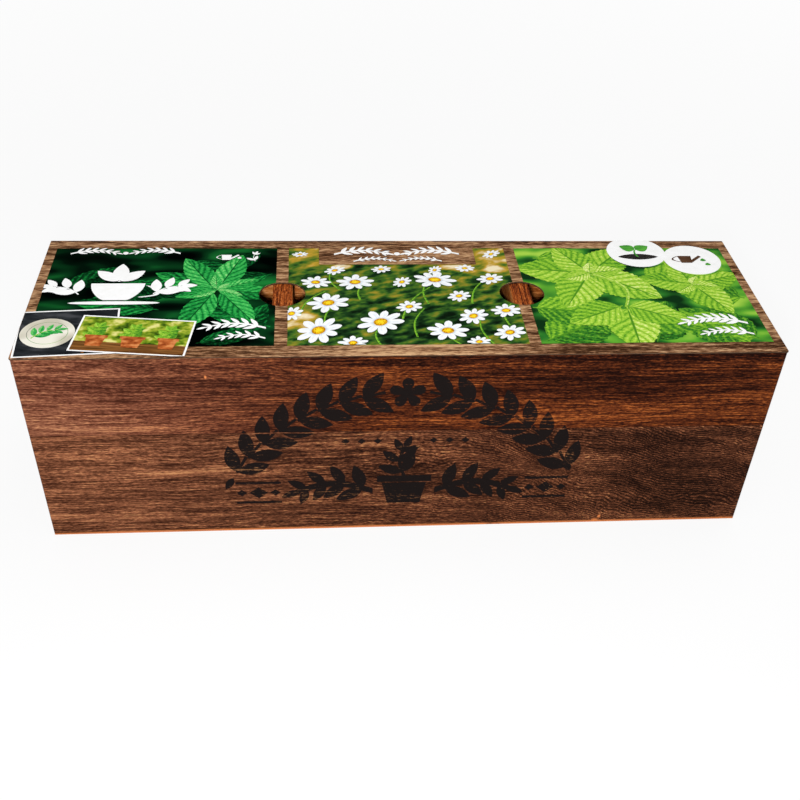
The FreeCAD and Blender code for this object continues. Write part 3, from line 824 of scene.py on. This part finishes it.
# The blossoms stay clear of the finger holes, so only the stalks are cut there.
BLOSSOMS = (
    # x, y, radius, squash, turn, tone
    (-52, 40, 4.5, 0.6, 10, 0.44), (-34, 23, 6, 0.7, 30, 0.5), (34, 25, 5.5, 0.7, 5, 0.48),
    (50, 40, 6, 0.6, 40, 0.46), (18, 23, 5, 0.7, 60, 0.46), (-10, 24, 5.5, 0.7, 15, 0.52),
    (46, 14, 7.5, 0.72, 20, 0.58), (0, 11, 6, 0.75, 50, 0.56), (-44, 11, 8, 0.78, 0, 0.62),
    (28, -3, 6.5, 0.8, 33, 0.6), (50, -17, 8, 0.78, 12, 0.62), (-24, 11, 10, 0.76, 8, 0.68),
    (33, -22, 8.5, 0.8, 44, 0.64), (2, -13, 7, 0.8, 25, 0.62), (-38, -9, 11, 0.82, 20, 0.7),
    (17, 13, 11.5, 0.72, -6, 0.7), (-13, -27, 12.5, 0.84, 38, 0.72), (19, -35, 10.5, 0.84, 4, 0.7),
    (-43, -34, 13, 0.8, 54, 0.72), (49, -37, 8.5, 0.8, 30, 0.66), (-27, -45, 7.5, 0.8, 12, 0.64),
    (-56, -19, 7, 0.8, 60, 0.62), (33, -45, 6, 0.8, 15, 0.62),
)
STALKS = (
    # x, y, length, turn
    (-14, -46, 18, 82), (24, -46, 14, 100), (-40, -30, 24, 70), (-2, -24, 34, 62), (40, -46, 26, 96),
    (-22, -6, 18, 74), (12, -10, 24, 84), (50, -30, 20, 80), (-52, -20, 26, 60), (34, -10, 28, 66),
    (-32, 4, 20, 100), (4, -40, 26, 78),
)
stalks = [laid(light_stalk, (x, y), length, turn, 30, 0.36) for x, y, length, turn in STALKS]
blossoms = [laid(blossom, (x, y), radius, turn, radius * squash, tone)
            for x, y, radius, squash, turn, tone in BLOSSOMS]
flowers = clear_of_holes(stalks) + blossoms
printed_set("middle_panel_blossoms", flowers, MOTIF_HEIGHT, PANELS["middle"], CLEAR_STEP)

plate_signs = [laid(slip(lid_wood), (-0.75, 37.9), 82.5, width=18.2)]
plate_signs += white_sprig((-34, 39.5), 30, 0, 7, 6, fullness=0.8)
plate_signs += white_sprig((32.5, 39.5), 30, 180, 7, 6, fullness=0.8)
plate_signs.append(laid(white_disc, (-0.7, 39.5), 1.6))
plate_signs += white_sprig((-24, 31.6), 22, 0, 3.8, 6)
plate_signs += white_sprig((22.5, 31.6), 22, 180, 3.8, 6)
plate_signs += [laid(white_drop, (-0.7 + 4 * side, 39.5), 3.4, 90 - 90 * side) for side in (1, -1)]
printed_set("middle_panel_plate", plate_signs, MOTIF_HEIGHT + 0.42, LID_EDGES)


# Right panel: sunlit broad leaves, and two white discs with signs for growing and watering.

LIGHT_LEAVES = (
    # x, y, length, turn, tone
    (72, 36, 40, -20, 0.3), (150, 44, 38, 200, 0.34), (176, -6, 40, 160, 0.3), (172, -44, 44, 140, 0.28),
    (66, -44, 46, 30, 0.26), (120, -46, 40, 70, 0.2), (140, -20, 40, -50, 0.32), (84, -6, 38, -60, 0.3),
    (128, 12, 42, 24, 0.36), (64, -14, 40, -10, 0.34), (172, 24, 34, 190, 0.42), (110, -20, 40, -20, 0.38),
    (100, 20, 40, 172, 0.5), (100, 20, 36, 48, 0.48), (101, 19, 40, -38, 0.58), (99, 19, 38, -118, 0.56),
    (100, 20, 32, 118, 0.54), (100, 20, 18, 10, 0.64), (100, 20, 16, 205, 0.66), (100, 20, 11, 80, 0.76),
    (152, 8, 28, 165, 0.46), (152, 8, 30, 20, 0.5), (152, 8, 32, -65, 0.54), (152, 8, 26, 100, 0.5),
    (152, 8, 15, -15, 0.62), (152, 8, 13, 220, 0.62), (152, 8, 9, 60, 0.74),
    (112, -14, 40, -92, 0.6), (110, -13, 34, -152, 0.5), (112, -13, 32, -28, 0.52),
)
bright_leaves = scattered(light, LIGHT_LEAVES)
bright_leaves.insert(-3, laid(light_stalk, (101, 18), 34, -72, 90, 0.62))
printed_set("right_panel_leaves", clear_of_holes(bright_leaves), MOTIF_HEIGHT, PANELS["right"])

small_signs = white_sprig((170, -30), 34, 180, 8, 7) + white_sprig((170, -40), 26, 180, 6, 6)
printed_set("right_panel_signs", small_signs, SIGN_HEIGHT + 0.1, PANELS["right"])

DISCS = ((130, 41.7, 16.0), (159, 33.2, 15.6))
shade_disc = roundel(bright_ground)
sign_leaf = blade(green_print, broad_leaf)
sign_stalk = narrow(green_print, even(0.05))
soil_mound = blade(soil_print, lambda reach: 0.14 * sin(pi * reach) ** 0.7)
brown_can = slip(brown_print, 0.8)
brown_loop = narrow(brown_print, even(0.06), looping, 16)
brown_spout = narrow(brown_print, even(0.055), even(0), 8)
green_drop = blade(green_print, drop_outline)

disc_signs = []
for x, y, radius in DISCS:
    disc_signs.append(laid(shade_disc, (x + 0.5, y - 0.9), radius))
    disc_signs.append(laid(white_disc, (x, y), radius))
x, y = DISCS[0][:2]
disc_signs += [laid(soil_mound, (x - 11, y - 5), 22), laid(sign_stalk, (x, y - 5), 8, 90, 10)]
disc_signs += [laid(sign_leaf, (x, y + 2.5), 9, turn, 11) for turn in (28, 152)]
x, y = DISCS[1][:2]
disc_signs += can_sign(brown_can, brown_loop, brown_spout, green_drop, (x - 3.5, y + 0.5), 17)
disc_signs.append(laid(green_drop, (x + 7.5, y - 6), 2.8, 90, 4.5))
printed_set("right_panel_discs", disc_signs, SIGN_HEIGHT + 0.15, LID_EDGES)


# Two tilted prints with white borders: a sprig on a plate, and a row of clay pots.

BORDER = 0.9

slate = slip(slate_print)
cream = roundel(cream_print)
spoon = blade(table_print, lambda reach: 0.02 + 0.09 * exp(-((reach - 0.86) / 0.1) ** 2))
sprig_print = [
    laid(white_slip, (0, 0), 46, width=39), laid(slate, (0, 0), 46 - 2 * BORDER, width=39 - 2 * BORDER),
    laid(cream, (-9, 0), 12.5), laid(shade_disc, (-9, 0), 9.4), laid(cream, (-9, 0), 9.2),
    laid(spoon, (8, -18), 32, 68),
]
sprig_print += sprig(deep, light_stalk, (-16, -4), 14, 28, 8, 4, 44, 0.62)
printed_set("sprig_print", sprig_print, CARD_HEIGHT, LID_EDGES, CLEAR_STEP, (-159.9, -33.8), 3.8)

garden = slip(garden_print)
table_top = slip(table_print)
clay_pot = slip(clay_print, 0.72)
clay_rim = slip(clay_print)
pots_print = [
    laid(white_slip, (0, 0), 53.8, width=30.5), laid(garden, (0, 0), 52, width=28.7),
    laid(table_top, (0, -10.5), 52, width=7.7),
]
for x, pot_size in ((-16.5, 9.5), (0.5, 10.5), (17, 9)):
    pots_print += sprig(light, light_stalk, (x, -3), 9.5, 90, 7.5, 3, 50, 0.42)
    pots_print += [
        laid(clay_pot, (x, -6.2), pot_size, width=8.5),
        laid(clay_rim, (x, -2.4), pot_size * 1.12, width=2.2),
    ]
printed_set("pots_print", pots_print, CARD_HEIGHT + 0.2, LID_EDGES, STEP, (-129.4, -37.3), -6.5)


# Stencil on the front: black paint rubbed through a stencil, thin where the fibres stand proud. Two
# leafy branches arch over a potted herb between two more.

STENCIL_HEIGHT = 54.798
SEAM = 65.0
SEAM_CHAMFER = 0.35
ARCH_CENTRE = (-1.0, -10.8)
ARCH_RADIUS = 98.8
STENCIL_WINDOW = 120
STENCIL_LAYERS = 13    # neighbours lie at different heights
STENCIL_STEP = 0.75 * STEP

ink_leaf = blade(upper_ink, long_leaf)
ink_petal = blade(upper_ink, petal_outline, rows=20)
ink_twig = narrow(upper_ink, even(0.05), even(0), 4)
ink_stalk = narrow(upper_ink, even(0.035), rows=16)
ink_diamond = narrow(upper_ink, lambda reach: 0.4 * (1 - abs(2 * reach - 1)), even(0), 8)
ink_rule = slip(upper_ink)
ink_pot = slip(upper_ink, 0.74)


def arch_place(angle):
    """The place on the arch at this many degrees from its top."""
    turn = radians(angle)
    return ARCH_CENTRE[0] + ARCH_RADIUS * sin(turn), ARCH_CENTRE[1] + ARCH_RADIUS * cos(turn)


def stencil_part(name, whole, finish, low, high):
    """The stencil's part between two heights, stood up against the front boards."""
    part = trimmed(laid(whole, (0, 0), 1000), -STENCIL_WINDOW, low, STENCIL_WINDOW, high)
    part.rotation_euler = (radians(90), 0, 0)
    only(part)
    bpy.ops.object.transform_apply()
    painted(part, finish)
    part.name = name
    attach(part, "box")


# Two branches climb from the ends of the arch to the blossom at its top.
motifs = []
for side in (-1, 1):
    for pair in range(8):
        angle = side * (59 - 6.6 * pair)
        place = arch_place(angle)
        towards_top = -angle if side < 0 else 180 - angle
        motifs.append(laid(ink_twig, place, 11.6, towards_top - side * 3, 16))
        motifs += [laid(ink_leaf, place, 17.5, towards_top + spread, 19) for spread in (42, -42)]
    motifs.append(laid(ink_leaf, arch_place(side * 61), 9, 180 - side * 90 + side * 30, 10))
motifs += [laid(ink_petal, (ARCH_CENTRE[0], 88), 9, 90 + 72 * turn, 15) for turn in range(5)]

# The potted herb, a branch on either side of it, and beyond them rules and diamonds.
motifs += [laid(ink_pot, (-1, 24.5), 23, width=14), laid(ink_rule, (-1, 34.2), 28, width=4.2)]
motifs += sprig(ink_leaf, ink_stalk, (-1, 36), 19, 90, 14, 3, 48, fullness=1.1)
for side in (-1, 1):
    start = (-1 + side * 16, 26)
    motifs += sprig(ink_leaf, ink_stalk, start, 40, 90 - side * 90, 17, 4, 50, fullness=1.05)
for centre in (-75.5, 73.5):
    motifs += [laid(ink_rule, (centre, height), 23, width=1.6) for height in (20, 33)]
    for step, size in ((-1, 5.5), (0, 9.5), (1, 5.5)):
        motifs.append(laid(ink_diamond, (centre + step * 8.5 - size / 2, 26.5), size))
for side in (-1, 1):
    motifs += [laid(ink_diamond, (-1 + side * reach - 2.2, 59), 4.4) for reach in (14, 22, 30)]

for index, copy in enumerate(motifs):
    copy.location.z = STENCIL_HEIGHT * MM + index % STENCIL_LAYERS * STENCIL_STEP
whole_stencil = joined(motifs)
stencil_part("upper_stencil", whole_stencil, upper_ink, SEAM + SEAM_CHAMFER, 108)
stencil_part("lower_stencil", whole_stencil, lower_ink, 2, SEAM - SEAM_CHAMFER)


# Inside: three coir discs and three seed sachets, one of each in a liner. Both are modelled once.

DISC_RADIUS = 30.8
DISC_LOW = 10.2
DISC_HIGH = 22.4
SACHET_LENGTH = 77.1
SACHET_WIDTH = 60.0
SACHET_LOW = 22.85
SACHET_RIM = 0.5
SACHET_RISE = 1.2
INSERTS = (
    # name, middle along X, turn
    ("left", -118.95, 6.0), ("middle", 0.0, -4.0), ("right", 118.95, 3.0),
)


def coir_disc():
    """A pressed disc: rings inset on both faces, a rounded rim, and a rough fibrous skin."""
    only(camera)
    middle_height = (DISC_LOW + DISC_HIGH) / 2 * MM
    bpy.ops.mesh.primitive_cylinder_add(vertices=96, radius=DISC_RADIUS * MM,
                                        depth=(DISC_HIGH - DISC_LOW) * MM, location=(0, 0, middle_height))
    disc = bpy.context.object
    bpy.ops.object.transform_apply()
    for side in (1, -1):
        mode("EDIT")
        select_corners(lambda place: (place.z - middle_height) * side > 0)
        for ring in range(4):
            bpy.ops.mesh.inset(thickness=6.6 * MM)
        bpy.ops.mesh.poke()
        mode("OBJECT")
    applied(disc, "BEVEL", width=2.4 * MM, segments=3, limit_method="ANGLE", angle_limit=radians(60))
    applied(disc, "SUBSURF", levels=2, render_levels=2)
    for size, strength in ((3.0, 0.7), (1.0, 0.45)):
        lumps = bpy.data.textures.new("coir_lumps", "CLOUDS")
        lumps.noise_scale = size * MM
        applied(disc, "DISPLACE", texture=lumps, strength=strength * MM, mid_level=0.6)
    bpy.ops.object.shade_smooth()
    return disc


def seed_sachet():
    """A filled paper sachet: a flat rim all round and a raised, softly edged middle."""
    only(camera)
    bpy.ops.mesh.primitive_cube_add(size=1, location=(0, 0, (SACHET_LOW + SACHET_RIM / 2) * MM))
    sachet = bpy.context.object
    sachet.scale = (SACHET_LENGTH * MM, SACHET_WIDTH * MM, SACHET_RIM * MM)
    bpy.ops.object.transform_apply()
    mode("EDIT")
    select_corners(lambda place: place.z > (SACHET_LOW + SACHET_RIM / 2) * MM)
    bpy.ops.mesh.inset(thickness=4.5 * MM)
    for inward, upward in ((3.5, 0.55), (4.0, 0.45), (4.5, 0.2)):
        bpy.ops.mesh.extrude_region_move(TRANSFORM_OT_translate={"value": (0, 0, upward * MM)})
        bpy.ops.transform.resize(value=(1 - 2 * inward / SACHET_LENGTH, 1 - 2 * inward / SACHET_WIDTH, 1))
    mode("OBJECT")
    applied(sachet, "BEVEL", width=0.12 * MM, segments=2, limit_method="ANGLE", angle_limit=radians(4))
    bpy.ops.object.shade_smooth_by_angle(angle=radians(30))
    return sachet


# Pressed coconut fibre: hairs of all shades of brown that cross each other, with dark pith between.
coir, tree, surface = new_finish("pressed_coir", 0.95, Specular_IOR_Level=0.1)
hairs = None
for turn in (10, 70, 130):
    layer = streaks(tree, millimetres(tree, turn), 7, 0.45, 2.0)
    hairs = node(tree, "Math", {0: hairs, 1: layer}, operation="MAXIMUM") if hairs else layer
toned(surface, hairs, ((0.45, "#24150C"), (0.55, "#5A3A20"), (0.64, "#8A6238"), (0.75, "#B98C58")),
      (0.9, 0.0006))

# Kraft paper: pale brown and matt, with darker and lighter fibres that stand up a little.
kraft = streaked_finish("kraft_paper", 0.8, ((0.35, "#A98A60"), (0.5, "#C9AC80"), (0.65, "#DCC49C")),
                        2.5, 0.5, bump=(0.3, 0.0001), Specular_IOR_Level=0.2)

disc_master = painted(coir_disc(), coir)
sachet_master = painted(seed_sachet(), kraft)
sachet_band = slip(green_print)
sachet_stalk = narrow(green_print)
for side, middle_x, turn in INSERTS:
    body = side + "_insert"
    for master, name, stands_for, slot in (
        (disc_master, "_pressed_coir", "_coir_disc", "coir"),
        (sachet_master, "_sachet", "_seed_packet", "packet_paper"),
    ):
        piece = laid(master, (middle_x, 0), 1000, turn)
        piece.name = side + name
        only(piece)
        bpy.ops.object.transform_apply()
        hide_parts(side + stands_for)
        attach(piece, body)
    motif = [laid(sachet_band, (0, height), 46, width=1.2) for height in (14, -14)]
    motif += sprig(sign_leaf, sachet_stalk, (-17, 0), 32, 0, 13, 4, 44)
    printed_set(side + "_sachet_print", motif, SACHET_LOW + SACHET_RIM + SACHET_RISE, None,
                place=(middle_x, 0), turn=turn, body=body)


# Steel, card, plywood and plastic.

# Bright drawn steel, its heads a little uneven from the hammer.
steel, tree, surface = new_finish("bright_steel", 0.35, "#B4B2AE", Metallic=1.0)
dents = streaks(tree, millimetres(tree), 0.8, 0.8, 1.0)
put(surface, Roughness=node(tree, "MapRange", {"Value": dents, "To Min": 0.25, "To Max": 0.5}),
    Normal=node(tree, "Bump", {"Height": dents, "Strength": 0.4, "Distance": 0.0001}))
# Solid greyboard: thin layers along the cut edge, almost as brown as the print.
card = streaked_finish("greyboard", 0.85, ((0.35, "#33241A"), (0.65, "#5A4534")), 14, 0.25, 2.0,
                       Specular_IOR_Level=0.1)
# Birch plywood: pale straight grain, hardly any contrast, bare.
PLY_TONES = ((0.0, "#A9814F"), (0.4, "#CBA672"), (0.7, "#DEC08E"), (1.0, "#ECD4AA"))
plywood = plain_grain("birch_plywood", PLY_TONES, 0.75, 9.0, 1.4)
# Black thermoformed polystyrene sheet: glossy, with the faint ripple of drawn sheet.
black_sheet = streaked_finish("black_polystyrene_sheet", 0.3, ((0.3, "#0A0A0B"), (0.7, "#151516")),
                              6, 6, 2.0, bump=(0.25, 0.0006))
give(card, "lid_board")
give(plywood, "bottom_board")
give(steel, "left_end_brads", "right_end_brads")
give(black_sheet, "left_liner", "middle_liner", "right_liner")


# Studio: a pale floor and soft lamps at a plain level. Rays that look straight at the floor, or see it
# in a gloss or through something clear, find it almost white, and quite white far from the planter.

FLOOR_SIZE = 6.0
WHITE = (1.0, 1.0, 1.0, 1.0)


def looked_at(tree):
    """1 for rays from the camera, a gloss or something clear."""
    path = tree.nodes.new("ShaderNodeLightPath").outputs
    seen = node(tree, "Math", {0: path["Is Camera Ray"], 1: path["Is Glossy Ray"]}, operation="MAXIMUM")
    return node(tree, "Math", {0: seen, 1: path["Is Transmission Ray"]}, operation="MAXIMUM")


def soft_lamp(name, place, size, watts):
    """A square lamp that faces the planter."""
    data = bpy.data.lights.new(name, "AREA")
    data.size = size
    data.energy = watts
    lamp = bpy.data.objects.new(name, data)
    lamp.location = place
    lamp.rotation_euler = (Vector((0, 0, 0.05)) - Vector(place)).to_track_quat("-Z", "Y").to_euler()
    bpy.context.scene.collection.objects.link(lamp)


bpy.ops.mesh.primitive_plane_add(size=FLOOR_SIZE)
floor = bpy.context.object
floor.name = "floor"
floor_finish, tree, surface = new_finish("matt_white_floor", 0.9, "#F2F2F2", Specular_IOR_Level=0.1)
glow = node(tree, "Emission", {"Color": WHITE, "Strength": 1.0})
place = node(tree, "TexCoord", out="Object")
distance = node(tree, "VectorMath", {0: place}, out="Value", operation="LENGTH")
whiteness = {"Value": distance, "From Min": 0.4, "From Max": 1.4, "To Min": 0.86}
whiteness = node(tree, "MapRange", whiteness)
share = node(tree, "Math", {0: looked_at(tree), 1: whiteness}, operation="MULTIPLY")
blend = node(tree, "MixShader", {0: share, 1: surface.outputs[0], 2: glow})
tree.links.new(blend, tree.nodes["Material Output"].inputs["Surface"])
painted(floor, floor_finish)
floor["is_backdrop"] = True

world = bpy.data.worlds.new("pale_studio")
world.use_nodes = True
tree = world.node_tree
lit, seen = [node(tree, "Background", {"Color": WHITE, "Strength": strength}) for strength in (0.54, 1.0)]
blend = node(tree, "MixShader", {0: looked_at(tree), 1: lit, 2: seen})
tree.links.new(blend, tree.nodes["World Output"].inputs["Surface"])
bpy.context.scene.world = world

soft_lamp("flash", (-0.055, -0.5, 0.365), 0.03, 2.2)
soft_lamp("key", (-0.8, -1.3, 1.5), 0.9, 4.0)
soft_lamp("fill", (0.6, 0.5, 1.6), 1.2, 4.0)
bpy.context.scene.view_settings.view_transform = "Standard"


# The motifs have been copied, so the masters go.

for thing in list(bpy.context.scene.objects):
    if thing.type == "MESH" and body_of(thing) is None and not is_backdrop(thing):
        bpy.data.objects.remove(thing)
